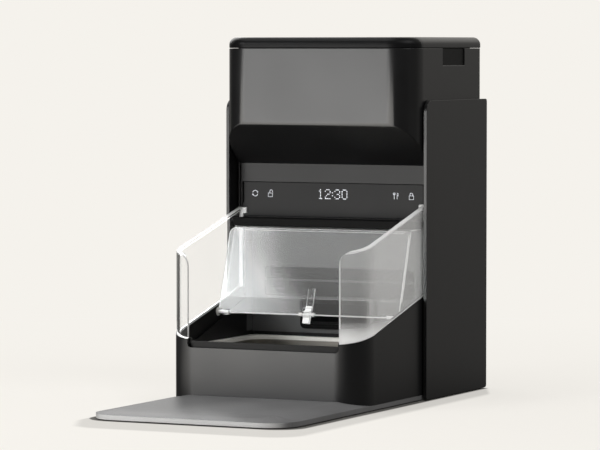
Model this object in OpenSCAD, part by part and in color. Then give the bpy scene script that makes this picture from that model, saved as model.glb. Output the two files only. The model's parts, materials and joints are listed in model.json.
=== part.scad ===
// Microchip pet feeder with a motor-driven clear bowl lid.
// The front faces -Y, +Z is up, and the origin is under the middle of the whole footprint.

/* [Body] */
// Width of the bowl housing, the tower and the head
body_w = 210; // [200:2:230]
// Depth of the body, from the front of the bowl housing to the back
body_l = 290; // [284:1:310]
// Plan radius of the front corners of the housing and the platform
corner_r = 30; // [28:1:34]
// Wall of the outer casings
wall = 2; // [1.6:0.1:2.2]

/* [Platform] */
// How far the platform reaches in front of the bowl housing
plate_reach = 160; // [120:5:200]
// Height of the platform's edge
plate_edge = 4.9; // [4.4:0.1:6]
// Rise of the standing area above the edge
plate_rise = 4.6; // [3:0.2:6]
// Width of the sloping rim around the standing area
rim_w = 25; // [15:1:27]
// Height of the rubber feet below the platform
foot_h = 0.8; // [0.6:0.1:2]

/* [Bowl housing] */
// Height of the housing's rim at its front
lip_h = 64.4; // [62:0.2:68]
// Slope of the housing's rim in degrees
rim_deg = 14.7; // [14:0.1:16]
// Width of the notch in the front wall
notch_w = 162; // [140:2:164]
// Depth of the notch below the rim
notch_d = 8; // [5:0.5:10]

/* [Bowl] */
// Height of the bowl's flange above the ground
bowl_z = 56.5; // [52:0.5:58]
// Depth of the bowl
bowl_deep = 34; // [26:1:34]
// Sheet thickness of the bowl
bowl_t = 0.8; // [0.5:0.1:1.2]

/* [Guards] */
// Height of the right guard above the housing's rim
guard_h_right = 86.5; // [70:0.5:92]
// Height of the left guard above the housing's rim
guard_h_left = 80; // [70:0.5:92]
// Radius of the guards' top corner beside the notch
guard_r = 10; // [6:1:14]
// Wall of the guards
guard_t = 3; // [2:0.1:3.4]
// Width of the rim along the top of the guards
guard_rim = 5; // [3.6:0.2:6]

/* [Bowl lid] */
// Reach of the lid from its hinge axis to its free edge
lid_reach = 86.5; // [80:0.5:87]
// Thickness of the lid's panel
lid_t = 2.5; // [2:0.1:3]
// Backward lean of the open lid in degrees
lid_lean = 17.5; // [15:0.5:19]
// Distance from the front of the housing back to the hinge axis
hinge_back = 99; // [96:0.5:101]
// Depth of the hinge axis below the housing's rim
hinge_drop = 6.3; // [6:0.1:8]
// Radius of the lid's axle
axle_r = 1.5; // [1.2:0.1:1.8]
// Radius of the two cranks that turn the lid
crank_r = 9; // [7:0.5:10]

/* [Tower] */
// Depth from the display fascia to the back
tower_d = 133; // [131:1:140]
// Height of the underside of the bar over the bowl space
ledge_z = 168; // [166:1:172]
// Height of the bar over the bowl space
ledge_h = 8; // [6:0.5:10]
// Depth of the bar over the bowl space
ledge_d = 25; // [20:0.5:26]
// Height of the top of the display fascia
neck_z = 230; // [226:1:234]
// Height of the display window
window_h = 34; // [28:1:35]

/* [Side panels] */
// Depth of the side panels
panel_d = 150; // [130:1:160]
// Height of the top of the side panels
panel_h = 294; // [280:1:310]
// Thickness of the side panels
panel_t = 3.4; // [2.6:0.2:5]
// Gap between the side panels and the tower
panel_gap = 1.6; // [1:0.1:3]
// Radius of the side panels' upper front corners
panel_r = 11; // [6:1:20]

/* [Head] */
// Overhang of the head in front of the display fascia
head_over = 41; // [36:1:46]
// Height of the head's lower front edge
head_z = 270; // [264:1:274]
// Height of the head's top rim
head_top = 345; // [335:1:360]
// Plan radius of the head's front corners
head_r = 28; // [22:1:32]
// Thickness of the hopper lid
cover_h = 10.7; // [10:0.1:14]
// Radius along the top edge of the hopper lid
cover_r = 7.5; // [4:0.5:8]

/* [Dosing] */
// Radius of the dosing rotor
rotor_r = 30; // [26:1:31]
// Width of the dosing rotor
rotor_w = 60; // [50:1:64]
// Number of rotor vanes
rotor_vanes = 6; // [5:1:8]
// Width of the food outlet's frame
outlet_w = 84; // [76:1:90]
// Height of the food outlet's frame
outlet_h = 30; // [28:1:31]

/* [Hidden] */
$fn = 64;

far = 400;
run = 0.05;
fit = 0.3;

// Main planes and half widths
half_w = body_w / 2;
y_front = -(plate_reach + body_l) / 2;
y_back = -y_front;
y_house = y_front + plate_reach;
y_fascia = y_back - tower_d;
z_base = foot_h;
z_deck = z_base + plate_edge;
z_stand = z_deck + plate_rise;
rim_slope = tan(rim_deg);
function rim_z(y) = lip_h + rim_slope * (y - y_house);

// Bowl space
wall_back = 14;
y_wall = y_fascia + wall_back;
liner_wall = 1.2;
liner_front = y_house + wall + 2;
liner_back = y_wall - fit;
liner_floor = bowl_z - bowl_deep - 4;
liner_r = corner_r - wall - 6;
well_in = 6;
well_r = 22;
side_in = half_w - 6.7;
side_out = side_in + liner_wall;
step_in = 2.8;
low_in = side_in - step_in;
shelf_z = bowl_z - 1;
landing_z = bowl_z + 3.5;
landing_d = 13;
seat_deg = 17.9;
seat_front_z = bowl_z + 4.2;
seat_front_y = y_house + 51;

// Guards
guard_out = half_w - 0.5;
guard_in = guard_out - guard_t;
guard_back = y_fascia - fit;
flange_w = 5.9;
flange_t = 2.8;
hook_w = 3.6;
hook_h = 6;

// Lid and its drive
y_hinge = y_house + hinge_back;
z_hinge = rim_z(y_hinge) - hinge_drop;
lid_half = side_in - 1.1;
barrel_r = axle_r + 1.3;
bracket_w = 7;
bracket_gap = 1.2;
steel_t = 1.2;
crank_x = side_out + fit;
link_x = crank_x + steel_t + 0.4;
crank_rest = 209;
pin_r = 1.5;
eye_r = 3.2;
y_motor = y_wall + 24;
link_l = y_motor - y_hinge;
knuckle_l = 12;
shield_off = 6.5;
shield_t = 2;
shield_low = 15;

// Tower
cheek_x = side_in - 2.2;
cheek_t = 2.2;
fascia_half = half_w - 3;
fascia_t = 2.4;
window_t = 1.6;
window_half = fascia_half - 1.6;
window_z = ledge_z + ledge_h + 1;

// Outlet
outlet_z = bowl_z + 7.5;
outlet_top = outlet_z + outlet_h;
outlet_step = 3;
outlet_r = 5;

// Head and hopper
y_head = y_fascia - head_over;
head_wall = 2.4;
head_slope = (head_z - neck_z) / head_over;
head_in = half_w - head_wall;
head_fillet = 8;
back_r = 9;
rest_z = head_top - 7;
bin_t = 2;
bin_half = head_in - 3.5;
bin_front = y_head + head_wall + 3.5;
bin_back = y_back - head_wall - 3.5;
rotor_back = 68;
rotor_drop = 65;
y_rotor = y_fascia + rotor_back;
z_rotor = neck_z - rotor_drop;
drum_in = rotor_r + 1;
drum_t = 2.5;
drum_out = drum_in + drum_t;
drum_half = rotor_w / 2 + 1;
throat_z = z_rotor + drum_out + 2;
throat_half = drum_half + drum_t;

// Backup cells
cell_r = 16.6;
cell_l = 61.5;
cell_n = 3;
cell_pitch = 2 * cell_r + 0.6;
tray_t = 1.6;
tray_half = cell_l / 2 + 1.2 + tray_t;
tray_l = cell_n * cell_pitch + 1 + 2 * tray_t;
y_tray = y_back - wall - 5 - tray_l;
tray_z = z_base + 3;
tray_lip = 4;
rail = 1;
cell_z = tray_z + 1.6 + cell_r;
door_t = 1.4;
door_travel = 8;

// Fasteners
screw_r = 1.5;
boss_r = 4;
base_spots = [[80, y_house + 25], [80, y_house + 125], [80, y_fascia + 28], [62, y_back - 20]];
panel_spots = [[y_fascia + 18, 35], [y_back - 15, 35], [y_fascia + 18, 215], [y_back - 15, 215]];
inlet_x = -62;
inlet_z = 24;
board_gap = 6;
board_spots = [for (x = [-88, -44]) for (z = [60, 130]) [x, z]];
foot_spots = [[88, y_front + 28], [88, y_house + 60], [88, y_back - 18]];
foot_r = 9;
foot_sink = 1.4;

// Shape helpers
// A profile drawn in Y and Z, spread over the width w about the middle
module across(w) {
    translate([-w / 2, 0, 0]) rotate([90, 0, 90]) linear_extrude(w) children();
}

// A profile drawn in X and Z, spread from y0 to y1
module along(y0, y1) {
    translate([0, y1, 0]) rotate([90, 0, 0]) linear_extrude(y1 - y0) children();
}

// A rounded rectangle with front radius rf and rear radius rr
module plan(hw, y0, y1, rf, rr) {
    translate([-hw, y0 + rf]) square([2 * hw, y1 - rr - y0 - rf]);
    translate([-hw + rf, y0]) square([2 * (hw - rf), rf]);
    for (s = [-1, 1]) translate([s * (hw - rf), y0 + rf]) circle(rf);
    if (rr > 0) {
        translate([-hw + rr, y1 - rr]) square([2 * (hw - rr), rr]);
        for (s = [-1, 1]) translate([s * (hw - rr), y1 - rr]) circle(rr);
    }
}

// A rectangle with square front corners and rear radius rr
module square_front(hw, y0, y1, rr) {
    translate([-hw, y0]) square([2 * hw, y1 - rr - y0]);
    translate([-hw + rr, y0]) square([2 * (hw - rr), y1 - y0]);
    for (s = [-1, 1]) translate([s * (hw - rr), y1 - rr]) circle(rr);
}

// Half of a slab's section, from its middle to its rounded outer edge
module edge(r, h, rt, rb) {
    low = rb > 0 ? [[r - rb, 0], [r, rb]] : [[r, 0]];
    high = rt > 0 ? [[r, h - rt], [r - rt, h]] : [[r, h]];
    polygon(concat([[0, 0]], low, high, [[0, h]]));
    if (rt > 0) intersection() {
        translate([r - rt, h - rt]) circle(rt);
        translate([r - rt, h - rt]) square(rt);
    }
    if (rb > 0) intersection() {
        translate([r - rb, rb]) circle(rb);
        translate([r - rb, 0]) square(rb);
    }
}

// A slab with a rounded plan, a round of rt along its top edge and rb along its bottom edge
module rounded_slab(hw, y0, y1, rf, rr, h, rt, rb) {
    for (s = [-1, 1]) {
        translate([s * (hw - rf), y0 + rf, 0]) rotate_extrude() edge(rf, h, rt, rb);
        translate([s * (hw - rr), y1 - rr, 0]) rotate_extrude() edge(rr, h, rt, rb);
    }
    along(y0 + rf, y1 - rr) {
        edge(hw, h, rt, rb);
        mirror([1, 0]) edge(hw, h, rt, rb);
    }
    across(2 * (hw - rf)) translate([y1 - rr, 0]) mirror([1, 0]) edge(y1 - rr - y0, h, rt, rb);
    across(2 * (hw - rr)) translate([y0 + rf, 0]) edge(y1 - y0 - rf, h, rt, rb);
}

// Everything above the sloping rim plane, moved up by lift
module above_rim(lift = 0) {
    across(far) polygon([
        [y_house - 60, rim_z(y_house - 60) + lift],
        [y_back, rim_z(y_back) + lift],
        [y_back, 2 * far],
        [y_house - 60, 2 * far]
    ]);
}

// Children copied to both sides
module both() {
    for (s = [0, 1]) mirror([s, 0, 0]) children();
}

// Platform and base
module standing_area() {
    r0 = corner_r;
    hw = half_w - 0.3;
    reach = y_house + corner_r;
    difference() {
        union() {
            for (s = [-1, 1]) {
                translate([s * (hw - r0), y_front + r0, z_deck]) cylinder(r1 = r0, r2 = r0 - rim_w, h = plate_rise);
            }
            along(y_front + r0, reach) polygon([
                [-hw, z_deck], [hw, z_deck], [hw - rim_w, z_stand], [rim_w - hw, z_stand]
            ]);
            across(2 * (hw - r0)) polygon([
                [y_front, z_deck], [reach, z_deck], [reach, z_stand], [y_front + rim_w, z_stand]
            ]);
        }
        translate([0, 0, z_deck - 1]) linear_extrude(20) plan(half_w + 0.1, y_house - 0.1, y_back, corner_r, 0);
    }
}

module base_plate() {
    y_end = y_back - 1;
    pocket = 26;
    rib = 3;
    color("dimgray") difference() {
        union() {
            translate([0, 0, z_base]) rounded_slab(half_w - 0.3, y_front, y_end, corner_r, 5, plate_edge, 0.6, 0.8);
            standing_area();
        }
        for (x = [-2.5:1:2.5]) {
            for (y = [y_front + 28:pocket + rib:y_house - pocket - 6]) {
                translate([x * (pocket + rib) - pocket / 2, y, -1]) cube([pocket, pocket, z_stand - 1.7]);
            }
            for (y = [y_house + 14:pocket + rib:y_tray - pocket - 8]) {
                translate([x * (pocket + rib) - pocket / 2, y, -1]) cube([pocket, pocket, z_deck - 1.2]);
            }
        }
        both() {
            for (p = foot_spots) translate([p[0], p[1], -1]) cylinder(r = foot_r + 0.2, h = z_base + foot_sink + 1);
            for (p = base_spots) {
                translate([p[0], p[1], -1]) cylinder(r = screw_r + 0.3, h = 20);
                translate([p[0], p[1], -1]) cylinder(r = 2 * screw_r + 0.4, h = z_base + 3.2);
            }
        }
        translate([-tray_half - 0.2, y_tray - 0.2, -1]) cube([2 * tray_half + 0.4, tray_l + 0.4, 30]);
        // the door's slot, and the narrower way into it between two rails
        translate([-tray_half - 4, y_tray - 3, z_base + rail])
            cube([2 * tray_half + 8 + door_travel, tray_l + 6, door_t + 0.6]);
        translate([-tray_half - 4, y_tray - 1, -1])
            cube([2 * tray_half + 8 + door_travel, tray_l + 2, z_base + rail + 2]);
    }
}

module rubber_feet() {
    color("black") both() for (p = foot_spots) {
        translate([p[0], p[1], 0]) cylinder(r1 = foot_r - 0.5, r2 = foot_r, h = foot_h);
        translate([p[0], p[1], foot_h]) cylinder(r = foot_r, h = foot_sink);
    }
}

// A pan-head screw standing on its head at the origin, with a cross recess
module screw(length) {
    difference() {
        union() {
            cylinder(r1 = 2 * screw_r - 0.3, r2 = 2 * screw_r, h = 1.8);
            cylinder(r = screw_r - run, h = length);
        }
        for (a = [0, 90]) rotate(a) translate([-0.4, -1.5, -1]) cube([0.8, 3, 1.8]);
    }
}

module base_screws() {
    color("silver") both() for (p = base_spots) translate([p[0], p[1], z_base + 0.4]) screw(13);
}

module battery_tray() {
    lip = tray_lip;
    color("dimgray") difference() {
        union() {
            translate([-tray_half, y_tray, tray_z]) cube([2 * tray_half, tray_l, cell_z + cell_r + tray_t + 0.3 - tray_z]);
            translate([-tray_half - lip, y_tray - lip, z_deck]) cube([2 * (tray_half + lip), tray_l + 2 * lip, 2]);
        }
        translate([-tray_half + tray_t, y_tray + tray_t, tray_z - 1])
            cube([2 * (tray_half - tray_t), tray_l - 2 * tray_t, cell_z + cell_r + 0.3 - tray_z + 1]);
    }
}

module battery_cells() {
    color("peru") for (i = [0:cell_n - 1]) {
        translate([0, y_tray + tray_t + 0.5 + cell_pitch * (i + 0.5), cell_z]) rotate([0, 90, 0]) {
            translate([0, 0, -cell_l / 2]) cylinder(r = cell_r, h = cell_l - 1.5);
            translate([0, 0, cell_l / 2 - 1.5]) cylinder(r = 4.8, h = 1.5);
        }
    }
}

module battery_door() {
    over = 3.5;
    color("dimgray") difference() {
        translate([-tray_half - over, y_tray - 2.5, z_base + rail + fit]) cube([2 * (tray_half + over), tray_l + 5, door_t]);
        for (i = [-2:2]) {
            translate([tray_half - 8 + 2.4 * i, y_tray + tray_l / 2 - 12, 0]) cube([1, 24, z_base + rail + fit + 0.5]);
        }
    }
}

// Bowl housing, tub and bowl
module front_housing() {
    color([0.16, 0.16, 0.17]) difference() {
        union() {
            difference() {
                translate([0, 0, z_deck]) linear_extrude(far / 2) plan(half_w, y_house, y_fascia, corner_r, 0);
                translate([0, 0, z_deck - 1]) linear_extrude(far)
                    plan(half_w - wall, y_house + wall, y_fascia + 60, corner_r - wall, 0);
            }
            both() {
                for (p = [base_spots[0], base_spots[1]]) {
                    translate([p[0], p[1], z_deck]) cylinder(r = boss_r, h = liner_floor - z_deck);
                }
                translate([40, y_house + wall, z_deck]) cube([wall, liner_back - y_house - wall, liner_floor - z_deck]);
            }
            for (y = [base_spots[0][1], base_spots[1][1]]) {
                translate([-half_w + wall, y - wall / 2, z_deck]) cube([2 * (half_w - wall), wall, liner_floor - z_deck]);
            }
        }
        above_rim();
        both() for (p = [base_spots[0], base_spots[1]]) {
            translate([p[0], p[1], z_deck - 1]) cylinder(r = screw_r + run, h = 12);
        }
        front_notch(y_house - 1, y_house + wall + 0.5, notch_w / 2, lip_h - notch_d, 4);
    }
}

// The notch cut into the front wall, with round lower corners
module front_notch(y0, y1, hw, z0, r) {
    along(y0, y1) {
        translate([-hw, z0 + r]) square([2 * hw, far]);
        translate([-hw + r, z0]) square([2 * (hw - r), far]);
        for (s = [-1, 1]) translate([s * (hw - r), z0 + r]) circle(r);
    }
}

// Everything above the step in the tub's side walls
module above_seat() {
    k = tan(seat_deg);
    across(far) polygon([
        [seat_front_y - 90, seat_front_z - 90 * k],
        [y_back, seat_front_z + (y_back - seat_front_y) * k],
        [y_back, 2 * far],
        [seat_front_y - 90, 2 * far]
    ]);
}

module bowl_liner() {
    inner_r = liner_r - liner_wall;
    skin = 1.6;
    well = low_in - well_in;
    well_y0 = liner_front + landing_d + well_in;
    well_y1 = liner_back - liner_wall - well_in;
    color([0.1, 0.1, 0.1]) difference() {
        union() {
            translate([0, 0, liner_floor]) linear_extrude(shelf_z - liner_floor)
                plan(well + liner_wall, well_y0 - liner_wall, well_y1 + liner_wall, well_r + liner_wall, well_r + liner_wall);
            translate([0, 0, shelf_z - skin]) linear_extrude(far / 2)
                plan(low_in + liner_wall, liner_front, liner_back, liner_r, 5);
            intersection() {
                translate([0, 0, landing_z]) linear_extrude(far / 2)
                    plan(side_out, liner_front, liner_back, liner_r, 5);
                above_seat();
            }
            intersection() {
                translate([0, 0, landing_z]) linear_extrude(far / 2)
                    plan(guard_in - fit, liner_front, liner_back, liner_r + 4, 5);
                above_rim(-1.4);
            }
        }
        // the bowl's seat, its well and the hollow behind the landing
        translate([0, 0, shelf_z]) linear_extrude(far) plan(low_in, liner_front + landing_d, liner_back - liner_wall, 8, 4);
        translate([0, 0, liner_floor + skin]) linear_extrude(far) plan(well, well_y0, well_y1, well_r, well_r);
        translate([0, 0, landing_z]) linear_extrude(far)
            plan(low_in, liner_front + liner_wall, liner_back - liner_wall, inner_r, 4);
        translate([-low_in + inner_r, liner_front + liner_wall, 0])
            cube([2 * (low_in - inner_r), landing_d - 2 * liner_wall, landing_z - skin]);
        intersection() {
            translate([0, 0, landing_z + 0.5]) linear_extrude(far)
                plan(side_in, liner_front + liner_wall, liner_back - liner_wall, inner_r, 4);
            above_seat();
        }
        above_rim();
        translate([-far / 2, y_fascia - 0.5, landing_z]) cube([far, far, far]);
        front_notch(liner_front - 1, liner_front + liner_wall + 0.01, notch_w / 2 + 4, bowl_z + 6, 4);
        translate([-far / 2, y_hinge, z_hinge]) rotate([0, 90, 0]) cylinder(r = axle_r + 1.7, h = far);
    }
}

module steel_bowl() {
    gap = 0.6;
    y0 = liner_front + landing_d + well_in + gap;
    y1 = liner_back - liner_wall - well_in - gap;
    hw = low_in - well_in - gap;
    r = well_r - gap;
    base_r = 8;
    lip = well_in - 1 + gap;
    color("silver") difference() {
        union() {
            translate([0, 0, bowl_z - bowl_deep]) rounded_slab(hw, y0, y1, r, r, bowl_deep, 0, base_r);
            translate([0, 0, shelf_z]) linear_extrude(1) plan(hw + lip, y0 - lip, y1 + lip, 7, 7);
        }
        translate([0, 0, bowl_z - bowl_deep + bowl_t])
            rounded_slab(hw - bowl_t, y0 + bowl_t, y1 - bowl_t, r - bowl_t, r - bowl_t, bowl_deep + 5, 0, base_r - bowl_t);
    }
}

module antenna_coil() {
    t = 1.4;
    play = 0.1;
    hw = low_in - well_in + liner_wall + play;
    y0 = liner_front + landing_d + well_in - liner_wall - play;
    y1 = liner_back - liner_wall - well_in + liner_wall + play;
    r = well_r + liner_wall + play;
    color("chocolate") translate([0, 0, shelf_z - 1.6 - 8]) linear_extrude(8) difference() {
        plan(hw + t, y0 - t, y1 + t, r + t, r + t);
        plan(hw, y0, y1, r, r);
    }
}

// Clear guards
module guard_ring(t) {
    difference() {
        plan(guard_out, y_house + 0.5, guard_back, corner_r, 0);
        plan(guard_out - t, y_house + 0.5 + t, guard_back + 60, corner_r - t, 0);
        translate([-notch_w / 2, y_house - 5]) square([notch_w, 60]);
    }
}

// Removes the top corner beside the notch and leaves a round one, at the slope of the guard's top
module guard_corner(h) {
    translate([notch_w / 2, y_house, lip_h + h]) rotate([rim_deg, 0, 0]) difference() {
        translate([-1, -5, -guard_r]) cube([guard_r + 1, 30, guard_r + 5]);
        translate([guard_r, -6, -guard_r]) rotate([-90, 0, 0]) cylinder(r = guard_r, h = 32);
    }
}

module guard_shape(h) {
    color([0.85, 0.87, 0.9, 0.5]) intersection() {
        difference() {
            union() {
                translate([0, 0, lip_h - 10]) linear_extrude(far / 2) guard_ring(guard_t);
                difference() {
                    translate([0, 0, lip_h]) linear_extrude(far / 2) guard_ring(guard_rim);
                    below_rim(h - 2.2);
                }
                // flange that returns along the fascia, and the hook at its top
                translate([guard_out - flange_w, guard_back - flange_t, lip_h]) cube([flange_w - 1, flange_t, far / 2]);
                translate([guard_out - flange_w - hook_w, guard_back - flange_t, rim_z(guard_back) + h - hook_h])
                    cube([flange_w + hook_w - 1, flange_t, far / 2]);
            }
            above_rim(h);
            below_rim();
            guard_corner(h);
        }
        translate([0, -far / 2, 0]) cube([far, far, far]);
    }
}

// Everything below the sloping rim plane, moved up by lift
module below_rim(lift = 0) {
    across(far) polygon([
        [y_house - 60, rim_z(y_house - 60) + lift],
        [y_back, rim_z(y_back) + lift],
        [y_back, -far],
        [y_house - 60, -far]
    ]);
}

module guard_right() {
    guard_shape(guard_h_right);
}

module guard_left() {
    mirror([1, 0, 0]) guard_shape(guard_h_left);
}

// Places children drawn in the open lid's own axes: +Y is from the hinge to the free edge, +Z its front face
module on_lid() {
    translate([0, y_hinge, z_hinge]) rotate([90 - lid_lean, 0, 0]) children();
}

module bowl_lid() {
    r = 7;
    lip = 3;
    gap = bracket_w / 2 + bracket_gap;
    rib = 4;
    color([0.8, 0.85, 0.9, 0.5]) on_lid() difference() {
        union() {
            difference() {
                union() {
                    translate([0, 0, -lid_t / 2]) linear_extrude(lid_t) {
                        translate([-lid_half, 0]) square([2 * lid_half, lid_reach - r]);
                        translate([-lid_half + r, 0]) square([2 * (lid_half - r), lid_reach]);
                        for (s = [-1, 1]) translate([s * (lid_half - r), lid_reach - r]) circle(r);
                    }
                    translate([-lid_half + r, lid_reach - 1.8, -lid_t / 2 - lip])
                        cube([2 * (lid_half - r), 1.8, lip + 0.1]);
                    translate([-lid_half, 0, 0]) rotate([0, 90, 0]) cylinder(r = lid_t / 2, h = 2 * lid_half);
                }
                translate([-gap, -10, -10]) cube([2 * gap, 10 + barrel_r + 3.6, 20]);
            }
            for (x = [-lid_half, lid_half - knuckle_l]) translate([x, 0, 0]) rotate([0, 90, 0])
                cylinder(r = barrel_r, h = knuckle_l);
            for (x = [-gap - rib, gap]) translate([x, 0, 0]) rotate([0, 90, 0]) cylinder(r = barrel_r - 0.6, h = rib);
            translate([-gap - 1, 0, 0]) rotate([0, 90, 0]) cylinder(r = axle_r, h = 2 * gap + 2);
        }
        for (x = [-lid_half - 1, lid_half - knuckle_l]) translate([x, 0, 0]) rotate([0, 90, 0])
            cylinder(r = axle_r + 0.02, h = knuckle_l + 1);
    }
}

// The two steel stubs that the lid's end knuckles turn with; the right one reaches out to the crank
module lid_axle() {
    x0 = lid_half - knuckle_l + 0.5;
    color("silver") translate([0, y_hinge, z_hinge]) rotate([0, 90, 0]) {
        translate([0, 0, x0]) cylinder(r = axle_r, h = crank_x + steel_t - x0);
        translate([0, 0, -side_out]) cylinder(r = axle_r, h = side_out - x0);
    }
}

module axle_bushes() {
    color("white") both() translate([side_in, y_hinge, z_hinge]) rotate([0, 90, 0]) difference() {
        union() {
            cylinder(r = axle_r + 1.65, h = liner_wall);
            translate([0, 0, -0.7]) cylinder(r = axle_r + 2.9, h = 0.7);
        }
        translate([0, 0, -1]) cylinder(r = axle_r + run, h = 5);
    }
}

// A stamped crank turned about the origin: hub bore, eye at crank_r and a rivet pin that points along +X
module crank(bore_r) {
    rotate([0, 90, 0]) difference() {
        union() {
            cylinder(r = 4, h = steel_t);
            rotate(90) translate([0, -2.6, 0]) cube([crank_r, 5.2, steel_t]);
            translate([0, crank_r, 0]) cylinder(r = 2.6, h = steel_t);
            translate([0, crank_r, 0]) cylinder(r = pin_r, h = 2 * steel_t + 0.4);
        }
        translate([0, 0, -1]) cylinder(r = bore_r, h = steel_t + 2);
    }
}

module lid_crank() {
    color("silver") translate([crank_x, y_hinge, z_hinge]) rotate([crank_rest, 0, 0]) crank(axle_r + 0.02);
}

module motor_crank() {
    color("silver") translate([crank_x, y_motor, z_hinge]) rotate([crank_rest, 0, 0]) {
        crank(axle_r);
        translate([-9, 0, 0]) rotate([0, 90, 0]) cylinder(r = 2, h = 9.1);
    }
}

module link_rod() {
    y_pin = crank_r * cos(crank_rest);
    z_pin = crank_r * sin(crank_rest);
    color("silver") translate([link_x, y_hinge + y_pin, z_hinge + z_pin]) rotate([90, 0, 90]) linear_extrude(steel_t)
        difference() {
            union() {
                circle(eye_r);
                translate([link_l, 0]) circle(eye_r);
                translate([0, -2]) square([link_l, 4]);
            }
            circle(pin_r + run);
            translate([link_l, 0]) circle(pin_r + 0.4);
        }
}

module lid_motor() {
    face_x = crank_x - 1.6;
    color("dimgray") translate([face_x, y_motor, z_hinge]) rotate([0, -90, 0]) difference() {
        union() {
            cylinder(r = 13, h = 12);
            translate([0, 0, 12]) cylinder(r = 11, h = 22);
            translate([-18, -6, 0]) cube([36, 12, 2]);
        }
        translate([0, 0, -1]) cylinder(r = 2 + run, h = 9);
        for (s = [-1, 1]) translate([s * 15.5, 0, -1]) cylinder(r = 1.5, h = 4);
    }
}

// Clear screen behind the open lid, and the hook that carries the middle of the axle
function behind_lid(z, off) = y_hinge + (z - z_hinge) * tan(lid_lean) + off / cos(lid_lean);

module chute_shield() {
    top_z = ledge_z - 2;
    low_z = z_hinge + shield_low * cos(lid_lean);
    near = shield_off - shield_t / 2;
    back = shield_off + shield_t / 2;
    color([0.85, 0.87, 0.9, 0.4]) across(2 * cheek_x - 1) polygon([
        [behind_lid(low_z, near), low_z],
        [behind_lid(low_z, back), low_z],
        [behind_lid(top_z, back), top_z],
        [y_fascia - 1, top_z],
        [y_fascia - 1, top_z + 2],
        [behind_lid(top_z + 2, near), top_z + 2],
    ]);
}

module lid_bracket() {
    seat = -shield_off + shield_t / 2;
    foot = shield_low + 12;
    color([0.9, 0.92, 0.95, 0.6]) on_lid() translate([-bracket_w / 2, 0, 0]) rotate([90, 0, 90]) difference() {
        union() {
            cylinder(r = axle_r + 2.2, h = bracket_w);
            linear_extrude(bracket_w) polygon([[0, 1], [3, 0.4], [9, seat + 2.4], [foot, seat + 2.4], [foot, seat],
                [6, seat], [0, -3.2]]);
            translate([-9, -2.6, 0]) cube([9.5, 4, bracket_w]);
        }
        translate([0, 0, -1]) cylinder(r = axle_r + run, h = bracket_w + 2);
        // the slot through which the hook snaps over the lid's pin
        rotate(75) translate([0, -1.1, -1]) cube([8, 2.2, bracket_w + 2]);
    }
}

// Tower
module tower_front() {
    color([0.13, 0.13, 0.14]) difference() {
        union() {
            translate([-side_out, y_wall, z_deck]) cube([2 * side_out, wall, ledge_z - z_deck]);
            translate([-fascia_half, y_fascia, ledge_z - 2]) cube([2 * fascia_half, wall_back + wall, 2]);
            both() translate([cheek_x, y_fascia, landing_z + 0.5])
                cube([cheek_t, wall_back + wall, ledge_z - landing_z - 0.5]);
        }
        // the food outlet, and the shallow recess above it with its middle bar
        along(y_wall - 1, y_wall + 10) rounded(outlet_w / 2 - 2, outlet_z + 2, outlet_top - 2, outlet_r - 2);
        for (z = [[outlet_top + 2.3, 15], [outlet_top + 19.4, 11.6]]) {
            along(y_wall - 1, y_wall + 1) rounded(outlet_w / 2 + 39.5, z[0], z[0] + z[1], 3);
        }
        translate([crank_x - 1, y_wall - 1, z_hinge - crank_r - 5]) cube([20, 10, 20]);
    }
}

// A rectangle with round corners, drawn in X and Z
module rounded(hw, z0, z1, r) {
    translate([-hw, z0 + r]) square([2 * hw, z1 - z0 - 2 * r]);
    translate([-hw + r, z0]) square([2 * (hw - r), z1 - z0]);
    for (s = [-1, 1]) for (z = [z0 + r, z1 - r]) translate([s * (hw - r), z]) circle(r);
}

module outlet_frame() {
    hw = outlet_w / 2;
    z1 = outlet_top;
    color("black") difference() {
        union() {
            along(y_wall - 1.6, y_wall) rounded(hw, outlet_z, z1, outlet_r);
            along(y_wall - 1.6, y_wall + wall) rounded(hw - 2.1, outlet_z + 2.1, z1 - 2.1, outlet_r - 2.1);
        }
        along(y_wall - 3, y_wall + 0.2) rounded(hw - 2.6, outlet_z + 2.6, z1 - 2.6, outlet_r - 2.6);
        along(y_wall - 3, y_wall + 5)
            rounded(hw - 2 - outlet_step, outlet_z + 2 + outlet_step, z1 - 2 - outlet_step, 2);
    }
}

module ledge_bar() {
    color("black") translate([-side_in, y_fascia - ledge_d, ledge_z]) cube([2 * side_in, ledge_d, ledge_h]);
}

module display_fascia() {
    z1 = window_z + window_h;
    color([0.3, 0.3, 0.31]) difference() {
        translate([-fascia_half, y_fascia, ledge_z]) cube([2 * fascia_half, fascia_t, neck_z - ledge_z]);
        translate([-window_half - 0.2, y_fascia - 1, window_z - 0.2])
            cube([2 * window_half + 0.4, window_t + 1, window_h + 0.4]);
        translate([-window_half + 8, y_fascia - 1, window_z + 5]) cube([2 * window_half - 16, 10, window_h - 10]);
    }
}

module display_window() {
    color([0.12, 0.12, 0.13]) difference() {
        translate([-window_half, y_fascia, window_z]) cube([2 * window_half, window_t, window_h]);
        both() translate([window_half - 1.6, y_fascia - 1, window_z + 13]) cube([0.8, 5, window_h + 5]);
    }
}

module led_board() {
    y0 = y_fascia + fascia_t;
    z0 = window_z + 2;
    color("darkgreen") {
        translate([-80, y0, z0]) cube([160, 1.6, window_h - 4]);
        translate([-22, y0 + 1.6, z0 + 6]) cube([44, 3, 16]);
        translate([34, y0 + 1.6, z0 + 8]) cube([12, 5, 6]);
    }
}

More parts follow.
